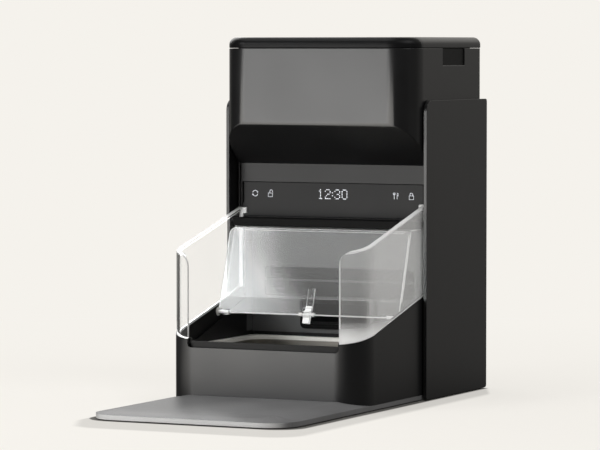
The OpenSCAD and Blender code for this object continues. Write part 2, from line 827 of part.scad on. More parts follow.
module tower_rear() {
    color([0.15, 0.15, 0.16]) difference() {
        union() {
            difference() {
                translate([0, 0, z_deck]) linear_extrude(neck_z - z_deck) square_front(half_w, y_fascia + 0.2, y_back, back_r);
                translate([0, 0, z_deck - 1]) linear_extrude(far)
                    square_front(half_w - wall, y_fascia - 20, y_back - wall, back_r - wall);
            }
            both() for (p = [base_spots[2], base_spots[3]]) {
                translate([p[0], p[1], z_deck]) cylinder(r = boss_r, h = 14);
                translate([p[0], p[1] - wall / 2, z_deck]) cube([half_w - wall / 2 - p[0], wall, 14]);
            }
            for (p = board_spots) translate([p[0], y_back - wall - board_gap, p[1]]) rotate([-90, 0, 0])
                cylinder(r = 3, h = board_gap + 0.5);
        }
        both() for (p = [base_spots[2], base_spots[3]]) {
            translate([p[0], p[1], z_deck - 1]) cylinder(r = screw_r + run, h = 12);
        }
        both() for (p = panel_spots) {
            translate([half_w - wall - 1, p[0], p[1]]) rotate([0, 90, 0]) cylinder(r = screw_r + 0.2, h = 10);
        }
        translate([inlet_x, y_back - 5, inlet_z]) rotate([-90, 0, 0]) linear_extrude(10) port(5.2, 2.1);
        // louvres that cool the motor and the board
        for (i = [0:6]) translate([-30, y_back - 5, 150 + 7 * i]) cube([60, 10, 2.4]);
    }
}

// An outline with round ends, hw and hh being its half width and half height
module port(hw, hh) {
    square([2 * (hw - hh), 2 * hh], center = true);
    for (s = [-1, 1]) translate([s * (hw - hh), 0]) circle(hh);
}

module main_board() {
    y1 = y_back - wall - board_gap;
    color("darkgreen") {
        translate([-92, y1 - 1.6, 54]) cube([52, 1.6, 82]);
        translate([-80, y1 - 4.6, 90]) cube([22, 3, 22]);
        translate([-88, y1 - 9.6, 62]) cube([10, 8, 20]);
        translate([-58, y1 - 5.6, 60]) cube([12, 4, 14]);
        for (i = [0:2]) translate([-84 + 14 * i, y1 - 1.6, 124]) rotate([90, 0, 0]) cylinder(r = 4, h = 9);
    }
}

module power_inlet() {
    color("silver") translate([inlet_x, y_back - wall, inlet_z]) rotate([90, 0, 0]) difference() {
        translate([-9, -6, 0]) cube([18, 12, 12]);
        translate([0, 0, -1]) linear_extrude(8) port(4.6, 1.7);
    }
}

// Side panels
module panel_shape() {
    x0 = half_w + panel_gap;
    y0 = y_back - panel_d;
    r = 3;
    color([0.2, 0.2, 0.21]) difference() {
        union() {
            translate([x0, 0, 0]) rotate([90, 0, 90]) linear_extrude(panel_t) {
                translate([y0, z_base + r]) square([panel_d, panel_h - z_base - panel_r - r]);
                translate([y0 + r, z_base]) square([panel_d - 2 * r, r]);
                translate([y0 + panel_r, panel_h - panel_r]) square([panel_d - panel_r - r, panel_r]);
                translate([y_back - r, panel_h - panel_r]) square([r, panel_r - r]);
                translate([y0 + panel_r, panel_h - panel_r]) circle(panel_r);
                for (p = [[y0 + r, z_base + r], [y_back - r, z_base + r], [y_back - r, panel_h - r]]) translate(p) circle(r);
            }
            for (p = panel_spots) translate([half_w, p[0], p[1]]) rotate([0, 90, 0]) cylinder(r = boss_r, h = panel_gap);
        }
        for (p = panel_spots) translate([half_w - 1, p[0], p[1]]) rotate([0, 90, 0]) cylinder(r = screw_r + run, h = 4);
    }
}

module side_panel_right() {
    panel_shape();
}

module side_panel_left() {
    mirror([1, 0, 0]) panel_shape();
}

module panel_screws() {
    color("silver") both() for (p = panel_spots) {
        translate([half_w - wall - 1.8, p[0], p[1]]) rotate([0, 90, 0]) screw(1.8 + wall + 2.6);
    }
}

// Head
// The head seen from the side, spread across: upright front, rounded lower edge, sloping underside down to z0
module head_side(inset, z0, z1) {
    r = head_fillet - inset;
    a = atan(head_slope);
    y0 = y_head + inset;
    y1 = y_back - inset;
    // centre of the rounded edge, and where it meets the slope
    cy = y_head + head_fillet;
    cz = head_z + head_fillet * tan((90 - a) / 2);
    sy = cy - r * sin(a);
    sz = cz - r * cos(a);
    across(far) polygon([[y0, cz], [y0, z1], [y1, z1], [y1, z0], [sy + (sz - z0) / head_slope, z0], [sy, sz]]);
    across(far) intersection() {
        translate([cy, cz]) circle(r);
        polygon([[cy, cz], [y0, cz], [y0, sz + (sy - y0) * head_slope], [sy, sz]]);
    }
}

module head_shell() {
    grip_y = y_back - 73;
    grip_l = 54;
    color([0.14, 0.14, 0.15]) difference() {
        intersection() {
            translate([0, 0, neck_z]) linear_extrude(head_top - neck_z) plan(half_w, y_head, y_back, head_r, back_r);
            head_side(0, neck_z, head_top);
        }
        difference() {
            intersection() {
                translate([0, 0, neck_z - 1]) linear_extrude(far)
                    plan(half_w - head_wall, y_head + head_wall, y_back - head_wall, head_r - head_wall, back_r - head_wall);
                head_side(head_wall, neck_z - 2, 2 * far);
            }
            // the ledge that carries the hopper's flange
            translate([0, 0, rest_z - 2]) linear_extrude(2) difference() {
                plan(half_w - 1, y_head + 1, y_back - 1, head_r - 1, back_r - 1);
                plan(bin_half + 0.5, bin_front - 0.5, bin_back + 0.5, head_r - 6, 3);
            }
        }
        both() translate([half_w - 1.2, grip_y, head_top]) rotate([90, 0, 90]) linear_extrude(5) {
            translate([-grip_l / 2, -17]) square([grip_l, 20]);
        }
    }
}

// Hopper outline: full size at the top, funnelled to the rotor's throat, grown by g
module hopper_solid(g) {
    slope_y = y_head + 6;
    slope_z = head_z + 6 / cos(atan(head_slope)) - head_slope * 6;
    function_y = slope_y + (slope_z - throat_z) / head_slope;
    funnel_z = throat_z + 62;
    y0 = min(function_y, y_rotor - drum_out + 6);
    intersection() {
        translate([0, 0, throat_z]) linear_extrude(rest_z + 2 - throat_z)
            plan(bin_half + g, bin_front - g, bin_back + g, head_r - 6 + g, 3 + g);
        across(far) polygon([
            [bin_front - g, rest_z + 30], [bin_front - g, slope_z - g],
            [function_y - g, throat_z - g], [y_rotor + throat_half - 6 + g, throat_z - g],
            [bin_back + g, funnel_z], [bin_back + g, rest_z + 30]
        ]);
        along(y_head, y_back) polygon([
            [-bin_half - g, rest_z + 30], [-bin_half - g, funnel_z], [-drum_half - g, throat_z - g],
            [drum_half + g, throat_z - g], [bin_half + g, funnel_z], [bin_half + g, rest_z + 30]
        ]);
    }
}

module hopper_bin() {
    color("gainsboro") difference() {
        union() {
            hopper_solid(0);
            translate([0, 0, rest_z]) linear_extrude(2) plan(bin_half + 2.6, bin_front - 2.6, bin_back + 2.6, head_r - 4, 5);
        }
        translate([0, 0, -0.1]) hopper_solid(-bin_t);
        translate([0, 0, 0.2]) hopper_solid(-bin_t);
        translate([-drum_half + 3, y_rotor - 20, throat_z - 5]) cube([2 * drum_half - 6, 40, 20]);
    }
}

module rotor_housing() {
    neck = 22;
    color("lightgray") difference() {
        union() {
            translate([-drum_half - drum_t, y_rotor, z_rotor]) rotate([0, 90, 0]) cylinder(r = drum_out, h = 2 * throat_half);
            translate([-throat_half, y_rotor - neck, z_rotor]) cube([2 * throat_half, 2 * neck, throat_z - z_rotor]);
        }
        translate([-drum_half, y_rotor, z_rotor]) rotate([0, 90, 0]) cylinder(r = drum_in, h = 2 * drum_half);
        translate([-drum_half, y_rotor - neck + 2, z_rotor]) cube([2 * drum_half, 2 * neck - 4, 60]);
        translate([-drum_half, y_rotor - neck + 2, z_rotor - 60]) cube([2 * drum_half, 2 * neck - 4, 60]);
        translate([-far / 2, y_rotor, z_rotor]) rotate([0, 90, 0]) cylinder(r = 3 + run, h = far);
    }
}

module rotor() {
    hub = 9;
    color("white") translate([0, y_rotor, z_rotor]) rotate([0, 90, 0]) {
        translate([0, 0, -rotor_w / 2]) cylinder(r = hub, h = rotor_w);
        for (i = [0:rotor_vanes - 1]) rotate(i * 360 / rotor_vanes) {
            translate([hub - 1, -1, 0.5 - rotor_w / 2]) cube([rotor_r - hub + 1, 2, rotor_w - 1]);
        }
        translate([0, 0, -throat_half]) cylinder(r = 3, h = throat_half + drum_half + drum_t + 8);
    }
}

module dispense_motor() {
    color("dimgray") translate([throat_half, y_rotor, z_rotor]) rotate([0, 90, 0]) difference() {
        union() {
            cylinder(r = 18, h = 14);
            translate([0, 0, 14]) cylinder(r = 14, h = 26);
            translate([-24, -8, 0]) cube([48, 16, 2.5]);
        }
        translate([0, 0, -1]) cylinder(r = 3 + run, h = 10);
        for (s = [-1, 1]) translate([s * 21, 0, -1]) cylinder(r = 1.7, h = 5);
    }
}

// Feed chute, from under the drum down to the outlet
module chute_side(g) {
    top = z_rotor - drum_out + 1.5;
    y0 = y_rotor - 24;
    y1 = y_rotor + 24;
    low = outlet_z + 4;
    high = outlet_top - 4;
    polygon([
        [y_wall + wall - g, high - g], [y0 + g, top - 12 - g], [y0 + g, top + 2 * (g > 0 ? 1 : 0)],
        [y1 - g, top + 2 * (g > 0 ? 1 : 0)], [y1 - g, top - 22 + g], [y_wall + wall - g, low + g]
    ]);
}

module chute() {
    hw = outlet_w / 2 - 4;
    color("lightgray") difference() {
        across(2 * hw) chute_side(0);
        across(2 * hw - 4) chute_side(2);
    }
}

// Hopper lid
module top_lid() {
    skirt = 12;
    play = 1.2;
    t = 2;
    grip_y = y_back - 73;
    color([0.14, 0.14, 0.15]) {
        difference() {
            translate([0, 0, head_top + fit]) rounded_slab(half_w, y_head, y_back, head_r, cover_r, cover_h, cover_r, 1);
            translate([0, 0, head_top]) linear_extrude(cover_h - 3)
                plan(bin_half - 12, bin_front + 12, bin_back - 12, head_r - 12, 4);
        }
        translate([0, 0, head_top + fit - skirt]) linear_extrude(skirt + 1) difference() {
            plan(bin_half - bin_t - play, bin_front + bin_t + play, bin_back - bin_t - play, head_r - 9, 3);
            plan(bin_half - bin_t - play - t, bin_front + bin_t + play + t, bin_back - bin_t - play - t, head_r - 11, 2);
        }
    }
}

module lid_seal() {
    play = 0.7;
    color("white") translate([0, 0, head_top - 9]) linear_extrude(2.5) difference() {
        plan(bin_half - bin_t - play + 0.3, bin_front + bin_t + play - 0.3, bin_back - bin_t - play + 0.3, head_r - 8.6, 3.3);
        plan(bin_half - bin_t - 1.1, bin_front + bin_t + 1.1, bin_back - bin_t - 1.1, head_r - 9, 3);
    }
}

module desiccant_box() {
    z1 = head_top + cover_h - 3;
    color("whitesmoke") translate([0, (y_head + y_back) / 2, z1 - 16]) difference() {
        cylinder(r = 32, h = 16);
        translate([0, 0, 1.5]) cylinder(r = 30.4, h = 13);
        for (i = [0:11]) rotate(30 * i) translate([10, -1, -1]) cube([16, 2, 4]);
    }
}

base_plate();
rubber_feet();
base_screws();
battery_tray();
battery_cells();
battery_door();
front_housing();
bowl_liner();
steel_bowl();
antenna_coil();
guard_left();
guard_right();
chute_shield();
lid_bracket();
bowl_lid();
lid_axle();
axle_bushes();
lid_crank();
link_rod();
motor_crank();
lid_motor();
tower_front();
outlet_frame();
ledge_bar();
display_fascia();
display_window();
led_board();
tower_rear();
side_panel_left();
side_panel_right();
panel_screws();
head_shell();
hopper_bin();
rotor_housing();
rotor();
dispense_motor();
chute();
top_lid();
lid_seal();
desiccant_box();
main_board();
power_inlet();
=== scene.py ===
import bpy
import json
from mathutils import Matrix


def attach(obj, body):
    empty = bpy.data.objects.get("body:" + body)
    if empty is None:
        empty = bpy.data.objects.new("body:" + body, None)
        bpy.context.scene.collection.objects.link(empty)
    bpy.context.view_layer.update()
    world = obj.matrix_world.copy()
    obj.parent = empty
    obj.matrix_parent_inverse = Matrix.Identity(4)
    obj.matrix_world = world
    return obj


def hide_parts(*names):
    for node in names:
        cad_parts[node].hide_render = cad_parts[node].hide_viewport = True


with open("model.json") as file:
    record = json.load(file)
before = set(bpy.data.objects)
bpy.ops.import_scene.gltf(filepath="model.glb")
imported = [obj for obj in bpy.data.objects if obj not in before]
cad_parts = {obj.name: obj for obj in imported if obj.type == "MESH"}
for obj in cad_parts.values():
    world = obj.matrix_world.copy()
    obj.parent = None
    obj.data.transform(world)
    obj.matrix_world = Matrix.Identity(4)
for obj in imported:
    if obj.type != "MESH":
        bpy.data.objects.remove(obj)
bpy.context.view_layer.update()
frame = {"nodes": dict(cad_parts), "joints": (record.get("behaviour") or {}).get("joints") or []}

import json
from math import cos, pi, radians, sin

import bpy
from mathutils import Vector

mm = 0.001
nodes = frame["nodes"]


# Standing platform: one broad moulding in grey ABS with a sloping rim, on which the pet stands with its
# front paws. It is finely grained against slipping, and the housing and the tower are screwed to it from
# below. Its front edge is glossier, and a painted highlight makes it light grey there, which fades back to
# the plain grey round its corners.
class Wire:
    """A socket of a material. Sums on it add Math nodes, and node() adds any other node."""

    def __init__(self, tree, socket=None):
        self.tree = tree
        self.socket = socket

    def node(self, kind, settings=None, values=None, output=0):
        """One output of a new node. Its values are numbers, colours or wires for its sockets."""
        added = self.tree.nodes.new(kind)
        for name, value in (settings or {}).items():
            setattr(added, name, value)
        for name, value in (values or {}).items():
            if isinstance(value, Wire):
                self.tree.links.new(added.inputs[name], value.socket)
            else:
                added.inputs[name].default_value = value
        return Wire(self.tree, added.outputs[output])

    def math(self, operation, *terms):
        return self.node("ShaderNodeMath", {"operation": operation}, dict(enumerate(terms)))

    def __add__(self, other):
        return self.math("ADD", self, other)

    def __sub__(self, other):
        return self.math("SUBTRACT", self, other)

    def __rsub__(self, other):
        return self.math("SUBTRACT", other, self)

    def __mul__(self, other):
        return self.math("MULTIPLY", self, other)

    def __truediv__(self, other):
        return self.math("DIVIDE", self, other)

    def __pow__(self, other):
        return self.math("POWER", self, other)

    def __abs__(self):
        return self.math("ABSOLUTE", self)

    __radd__ = __add__
    __rmul__ = __mul__

    def at_least(self, other):
        """The larger of this and other."""
        return self.math("MAXIMUM", self, other)

    def between(self, low, high):
        """0 below low, 1 above high, and smooth in between."""
        settings = {"interpolation_type": "SMOOTHSTEP"}
        return self.node("ShaderNodeMapRange", settings, {0: self, 1: low, 2: high, 3: 0.0, 4: 1.0})

    def blend(self, a, b):
        """Colour a where this is 0 and b where it is 1."""
        a = a if isinstance(a, Wire) else (*a, 1)
        b = b if isinstance(b, Wire) else (*b, 1)
        return self.node("ShaderNodeMix", {"data_type": "RGBA"}, {0: self, 6: a, 7: b}, 2)

    def split(self):
        """The three parts of a vector."""
        parts = self.node("ShaderNodeSeparateXYZ", None, {0: self})
        return [Wire(self.tree, socket) for socket in parts.socket.node.outputs]

    def finish(self):
        """Makes this shader the surface of its material."""
        output = self.tree.nodes.new("ShaderNodeOutputMaterial")
        self.tree.links.new(output.inputs["Surface"], self.socket)


def new_material(name):
    """An empty material, and the wire on which its nodes are built."""
    material = bpy.data.materials.new(name)
    material.use_nodes = True
    material.node_tree.nodes.clear()
    return material, Wire(material.node_tree)


def moulded(name, colour, roughness, grain=0.6, depth=0.08, mottle=0.12, shine=0.5):
    """Moulded plastic: finely grained, with a tone and a gloss that drift a little over the piece."""
    material, wire = new_material(name)
    place = wire.node("ShaderNodeTexCoord", output="Object")
    cloud = wire.node("ShaderNodeTexNoise", None, {
        "Vector": place, "Scale": 14.0, "Detail": 3.0, "Roughness": 0.55,
    })
    fine = wire.node("ShaderNodeTexNoise", None, {"Vector": place, "Scale": 1000 / grain, "Detail": 2.0})
    darker = tuple(c * (1 - mottle) for c in colour)
    lighter = tuple(c * (1 + mottle) for c in colour)
    bump = wire.node("ShaderNodeBump", None, {"Strength": depth, "Distance": 0.1 * mm, "Height": fine})
    wire.node("ShaderNodeBsdfPrincipled", None, {
        "Base Color": cloud.between(0.3, 0.7).blend(darker, lighter),
        "Roughness": roughness + (cloud - 0.5) * 0.12 + (fine - 0.5) * 0.1,
        "Specular IOR Level": shine,
        "Normal": bump,
    }).finish()
    return material


def finished(node, body, edge, material, segments=2):
    """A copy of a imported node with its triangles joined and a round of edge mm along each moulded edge."""
    piece = bpy.data.objects.new(node + "_finished", nodes[node].data.copy())
    bpy.context.scene.collection.objects.link(piece)
    bpy.ops.object.select_all(action="DESELECT")
    piece.select_set(True)
    bpy.context.view_layer.objects.active = piece
    piece.data.materials.clear()
    piece.data.materials.append(material)
    if piece.data.has_custom_normals:
        bpy.ops.mesh.customdata_custom_splitnormals_clear()
    bpy.ops.object.mode_set(mode="EDIT")
    bpy.ops.mesh.select_all(action="SELECT")
    bpy.ops.mesh.remove_doubles(threshold=0.002 * mm)
    bpy.ops.mesh.dissolve_limited(angle_limit=radians(0.3))
    bpy.ops.object.mode_set(mode="OBJECT")
    bpy.ops.object.shade_smooth_by_angle(angle=radians(30))
    bpy.ops.object.modifier_add(type="BEVEL")
    rounds = piece.modifiers[-1]
    rounds.width = edge * mm
    rounds.segments = segments
    rounds.limit_method = "ANGLE"
    rounds.angle_limit = radians(35)
    rounds.use_clamp_overlap = True
    rounds.miter_outer = "MITER_ARC"
    bpy.ops.object.modifier_apply(modifier=rounds.name)
    bpy.ops.object.modifier_add(type="WEIGHTED_NORMAL")
    even = piece.modifiers[-1]
    even.keep_sharp = True
    even.weight = 60
    bpy.ops.object.modifier_apply(modifier=even.name)
    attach(piece, body)
    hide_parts(node)
    return piece


def second_finish(piece, material, is_meant):
    """Gives another finish to the faces that is_meant picks by their centre, in mm, and their normal."""
    piece.data.materials.append(material)
    for face in piece.data.polygons:
        if is_meant(face.center / mm, face.normal):
            face.material_index = 1


platform_half = 110 * mm
platform_front = -225 * mm
platform_back = 225 * mm
platform_corner = 30 * mm
platform_grey = (0.15, 0.15, 0.153)
platform_plastic = moulded("platform_plastic", platform_grey, 0.4, grain=0.9, depth=0.12, shine=0.15)
platform = finished("base_plate", "root", 0.5, platform_plastic)

# Painted highlight: the front edge's light grey fades to the platform's grey over the first 15 mm from the
# front.
painted_front_highlight, wire = new_material("platform_painted_highlight")
place = wire.node("ShaderNodeTexCoord", output="Object")
x, y, z = place.split()
cloud = wire.node("ShaderNodeTexNoise", None, {"Vector": place, "Scale": 40.0, "Detail": 3.0})
highlight_fade = y.between(platform_front + 1 * mm, platform_front + 15 * mm)
wire.node("ShaderNodeBsdfPrincipled", None, {
    "Base Color": highlight_fade.blend((0.62, 0.62, 0.62), platform_grey),
    "Roughness": 0.26 + 0.08 * cloud,
    "Specular IOR Level": 0.8,
}).finish()


def on_front_edge(centre, normal):
    in_front = centre.y * mm < platform_front + platform_corner
    return in_front and normal.y < -0.45 and centre.z > 1.2


second_finish(platform, painted_front_highlight, on_front_edge)


# Six rubber feet pressed into the underside, and the zinc-plated screws that hold the housing and the
# tower. The screws for the side panels are driven from inside the tower, so no head shows outside.
def dress(names, material):
    """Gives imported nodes, whose shape is already right, their finish."""
    for name in names:
        nodes[name].data.materials.clear()
        nodes[name].data.materials.append(material)


def metal(name, colour, roughness, streak=(1, 1, 1), scale=900.0, depth=0.1):
    """Bare or plated metal with fine marks; streak squeezes the marks along an axis."""
    material, wire = new_material(name)
    place = wire.node("ShaderNodeTexCoord", output="Object")
    squeezed = wire.node("ShaderNodeMapping", None, {"Vector": place, "Scale": streak})
    marks = wire.node("ShaderNodeTexNoise", None, {"Vector": squeezed, "Scale": scale, "Detail": 4.0})
    cloud = wire.node("ShaderNodeTexNoise", None, {"Vector": place, "Scale": 30.0, "Detail": 2.0})
    duller = tuple(c * 0.86 for c in colour)
    bump = wire.node("ShaderNodeBump", None, {"Strength": depth, "Distance": 0.05 * mm, "Height": marks})
    wire.node("ShaderNodeBsdfPrincipled", None, {
        "Base Color": cloud.between(0.3, 0.7).blend(duller, colour),
        "Roughness": roughness + (marks - 0.5) * 0.16,
        "Metallic": 1.0,
        "Normal": bump,
    }).finish()
    return material


dress(["rubber_feet"], moulded("foot_rubber", (0.018, 0.018, 0.018), 0.85, grain=0.5, depth=0.2))
zinc = metal("zinc_plate", (0.60, 0.60, 0.58), 0.3)
dress(["base_screws", "panel_screws"], zinc)

# Backup supply: three cells side by side in a tray under the tower, behind a door that slides out from
# below. Each cell has a plain blue sleeve, and its steel ends are bare.
inner_black = moulded("inner_plastic", (0.028, 0.028, 0.029), 0.5)
finished("battery_door", "door", 0.3, inner_black)
dress(["battery_tray"], inner_black)

sleeve_end = 28.6 * mm
material, wire = new_material("cell_sleeve")
place = wire.node("ShaderNodeTexCoord", output="Object")
x, y, z = place.split()
scratch = wire.node("ShaderNodeTexNoise", None, {"Vector": place, "Scale": 260.0, "Detail": 3.0})
bare = abs(x).between(sleeve_end, sleeve_end + 0.2 * mm)
sleeve = scratch.between(0.35, 0.7).blend((0.02, 0.06, 0.20), (0.03, 0.08, 0.25))
wire.node("ShaderNodeBsdfPrincipled", None, {
    "Base Color": bare.blend(sleeve, (0.62, 0.61, 0.58)),
    "Metallic": bare,
    "Roughness": 0.22 + scratch * 0.12,
}).finish()
dress(["battery_cells"], material)

# Bowl housing: a deep tray of charcoal ABS with rounded front corners, a rim that rises to the tower, and a
# notch in its front wall for the pet's chin. It is moulded in one piece and screwed down through the
# platform.
charcoal = moulded("charcoal_plastic", (0.0105, 0.0105, 0.011), 0.33, grain=0.5, depth=0.08, shine=0.5)
finished("front_housing", "root", 0.5, charcoal)

# Tub: a black inner moulding that seats the bowl and hides the reader. The reader's copper coil is wound
# round its well, just below the shelf, where it picks up the chip as the pet bends down.
tub_black = moulded("tub_plastic", (0.008, 0.008, 0.008), 0.4, grain=0.5, depth=0.08, shine=0.14)
finished("bowl_liner", "root", 0.4, tub_black)

wire_pitch = 0.45 * mm
material, wire = new_material("coil_copper")
place = wire.node("ShaderNodeTexCoord", output="Object")
x, y, z = place.split()
wound = z * (2 * pi / wire_pitch)
turns = wound.math("SINE", wound)
tape = wire.node("ShaderNodeTexNoise", None, {"Vector": place, "Scale": 60.0, "Detail": 2.0})
bump = wire.node("ShaderNodeBump", None, {"Strength": 0.6, "Distance": 0.15 * mm, "Height": turns})
wire.node("ShaderNodeBsdfPrincipled", None, {
    # The copper is painted darker in the grooves between turns and lighter on their crests, as painted shade
    # and highlight.
    "Base Color": (turns * 0.5 + 0.5).blend((0.30, 0.10, 0.04), (0.78, 0.34, 0.16)),
    "Metallic": 1.0,
    "Roughness": 0.28 + tape * 0.15,
    "Normal": bump,
}).finish()
dress(["antenna_coil"], material)

# Bowl: deep-drawn stainless steel with a flat rolled flange and a brushed inside. It lies loose on the tub's
# shelf and lifts out for washing. Faint drawing marks run round its walls.
material, wire = new_material("bowl_steel")
place = wire.node("ShaderNodeTexCoord", output="Object")
x, y, z = place.split()
drawn = wire.node("ShaderNodeMapping", None, {"Vector": place, "Scale": (0.15, 0.15, 2.0)})
marks = wire.node("ShaderNodeTexNoise", None, {"Vector": drawn, "Scale": 260.0, "Detail": 3.0})
bowl_top = max(corner.co.z for corner in nodes["steel_bowl"].data.vertices)
# Painted highlight: the flange is painted light and partly matt, against the darker steel of the rest of the
# bowl.
painted_flange_highlight = z.between(bowl_top - 4.2 * mm, bowl_top - 3.6 * mm)
wire.node("ShaderNodeBsdfPrincipled", None, {
    "Base Color": painted_flange_highlight.blend((0.34, 0.32, 0.29), (0.84, 0.82, 0.78)),
    "Metallic": 1 - painted_flange_highlight * 0.45,
    "Roughness": 0.34 + painted_flange_highlight * 0.06 + (marks - 0.5) * 0.12,
}).finish()
finished("steel_bowl", "root", 0.25, material, 3)


# Side guards: two clear acrylic mouldings that stand on the housing's rim and wrap round its front corners,
# so a pet can only reach in from the front. A flange with a small hook holds each one to the tower. The
# left one is lower, and clearer than the right one, which is painted milky white at its foot as painted
# light.
def clear_plastic(name, body, roughness, ior, haze=None):
    """Clear plastic, of which body is the milky share. Where haze gives 1, it is milky all through."""
    material, wire = new_material(name)
    place = wire.node("ShaderNodeTexCoord", output="Object")
    film = wire.node("ShaderNodeTexNoise", None, {"Vector": place, "Scale": 22.0, "Detail": 2.0})
    tone = film.between(0.3, 0.7).blend((0.985, 0.985, 0.985), (1.0, 1.0, 1.0))
    surface = {"Base Color": tone, "Roughness": roughness + (film - 0.5) * 0.03, "IOR": ior}
    plastic = wire.node("ShaderNodeBsdfPrincipled", None, {**surface, "Transmission Weight": 1 - body})
    if haze:
        milky = wire.node("ShaderNodeBsdfPrincipled", None, surface)
        plastic = wire.node("ShaderNodeMixShader", None, {0: haze(*place.split()), 1: plastic, 2: milky})
    through = wire.node("ShaderNodeBsdfTransparent", None, {"Color": (0.93, 0.94, 0.94, 1)})
    shadow = wire.node("ShaderNodeLightPath", output="Is Shadow Ray")
    glossy = wire.node("ShaderNodeLightPath", output="Is Glossy Ray")
    passed = wire.node("ShaderNodeLightPath", output="Is Transmission Ray")
    unseen = shadow.at_least(glossy - passed)
    wire.node("ShaderNodeMixShader", None, {0: unseen, 1: plastic, 2: through}).finish()
    return material


def guard_painted_haze(x, y, z):
    """Painted light on the right guard: milky white at the foot of its corner, and a little milky along its
    side.
    """
    foot = 1 - z.between(60 * mm, 88 * mm)
    side_wall = y.between(-50 * mm, -35 * mm)
    return 0.95 * foot + 0.16 * side_wall


guard_finish = {
    "right": clear_plastic("guard_acrylic", 0.07, 0.05, 1.24, guard_painted_haze),
    "left": clear_plastic("guard_acrylic_backlit", 0.02, 0.05, 1.1),
}
# Painted highlights: the guards' top and bottom faces, the faces at the notch and those by the fascia are
# milky white.
guard_painted_edges = clear_plastic("guard_painted_edges", 0.6, 0.12, 1.3)
notch_edge_x = 82
fascia_y = 92


def on_guard_edge(centre, normal):
    at_notch = abs(centre.x) < notch_edge_x and centre.y < 0 and abs(normal.x) > 0.4
    at_fascia = centre.y > fascia_y - 4
    return abs(normal.z) > 0.35 or at_notch or at_fascia


for side in ("left", "right"):
    guard = finished("guard_" + side, "root", 0.6, guard_finish[side], 3)
    second_finish(guard, guard_painted_edges, on_guard_edge)

# Bowl lid: a clear panel with a folded lip along its free edge, turned by steel stubs in its end knuckles.
# The stubs run in white acetal bushes in the tub's side walls, and the panel leans back when the bowl is
# open. Its edges and the front of its barrel are painted milky white as highlights.
lid_lean = radians(17.5)
lid_front = Vector((0, -cos(lid_lean), sin(lid_lean)))
lid_up = Vector((0, sin(lid_lean), cos(lid_lean)))
hinge = Vector(next(joint["pos_m"] for joint in frame["joints"] if joint["name"] == "bowl_lid_hinge")) / mm
lid_clear = clear_plastic("lid_polycarbonate", 0.025, 0.05, 1.5)
# A milky white finish that paints highlights on the edges of the lid and the screen; the hook's foot takes it
# too.
lid_edge = clear_plastic("lid_edge", 0.75, 0.15, 1.4)


def on_lid_edge(centre, normal):
    """The panel's own edges, and the front of the barrel along its foot."""
    edge_on = abs(normal.dot(lid_front)) < 0.75
    off_barrel = (centre - hinge).dot(lid_up) > 4 or abs(centre.x) > 92
    on_barrel = (centre - hinge).yz.length < 3.4
    to_front = normal.y < -0.75 and abs(normal.x) < 0.5
    return (edge_on and off_barrel) or (on_barrel and to_front)


second_finish(finished("bowl_lid", "lid", 0.4, lid_clear, 3), lid_edge, on_lid_edge)

acetal = moulded("acetal", (0.62, 0.62, 0.60), 0.35, mottle=0.04)
dress(["axle_bushes"], acetal)
axle_steel = metal("axle_steel", (0.52, 0.52, 0.51), 0.22, streak=(3.0, 0.2, 0.2))
dress(["lid_axle"], axle_steel)

# Lid drive: a stamped crank on the axle, a link rod and a second crank on the shaft of a small geared motor
# inside the tower. The rod holds both cranks parallel, so the lid follows the motor one to one.
stamped = metal("stamped_steel", (0.50, 0.50, 0.49), 0.34, streak=(1.0, 0.3, 1.0))
dress(["lid_crank", "link_rod", "motor_crank"], stamped)


def motor_finish(name, gearbox_x, can_x):
    """A black gearbox and a drawn steel can, which meet along the shaft between gearbox_x and can_x."""
    material, wire = new_material(name)
    place = wire.node("ShaderNodeTexCoord", output="Object")
    x, y, z = place.split()
    brushed = wire.node("ShaderNodeTexNoise", None, {"Vector": place, "Scale": 380.0, "Detail": 4.0})
    can = x.between(gearbox_x * mm, can_x * mm)
    wire.node("ShaderNodeBsdfPrincipled", None, {
        "Base Color": can.blend((0.022, 0.022, 0.024), (0.52, 0.51, 0.49)),
        "Metallic": can,
        "Roughness": 0.5 - can * 0.2 + (brushed - 0.5) * 0.15,
    }).finish()
    return material


dress(["lid_motor"], motor_finish("lid_motor_shell", gearbox_x=85.9, can_x=85.7))

# Screen and hook: a fixed clear sheet behind the open lid keeps food from falling past it, and a small
# clear hook under it snaps over the lid's middle pin. Both are held to the tower.
shield_clear = clear_plastic("screen_acrylic", 0.015, 0.05, 1.3)
shield = finished("chute_shield", "root", 0.3, shield_clear)
# The screen's bottom and side edges are painted milky white as highlights.
second_finish(shield, lid_edge, lambda centre, normal: normal.z < -0.6 or abs(normal.x) > 0.6)
hook = finished("lid_bracket", "root", 0.4, shield_clear, 3)
# The hook's foot, up to 8 mm above the hinge, takes the same milky white finish.
second_finish(hook, lid_edge, lambda centre, normal: centre.z < hinge.z + 8)

# Front of the tower: a dark wall behind the bowl space with two shallow recesses, whose floors are painted
# near black as painted shade, and below them the food outlet with its stepped rubber-black frame. A bar along
# the top closes the space in front of the display; its near black is painted shade.
wall_dark = moulded("tower_wall_plastic", (0.056, 0.056, 0.0565), 0.42, grain=0.5, depth=0.1, shine=0.5)
# Near black, which paints shade on the floors of recesses.
recess_painted_shade = moulded("painted_shade_recess", (0.003, 0.003, 0.003), 0.45, grain=0.5, depth=0.1, shine=0.15)
wall_y = 106


def in_wall_recess(centre, normal):
    return wall_y + 0.3 < centre.y < wall_y + 1.2 and abs(centre.x) < 83


second_finish(finished("tower_front", "root", 0.35, wall_dark), recess_painted_shade, in_wall_recess)
frame_black = moulded("outlet_plastic", (0.0025, 0.0025, 0.0025), 0.42, grain=0.4, depth=0.05, shine=0.08)
finished("outlet_frame", "root", 0.3, frame_black, 3)
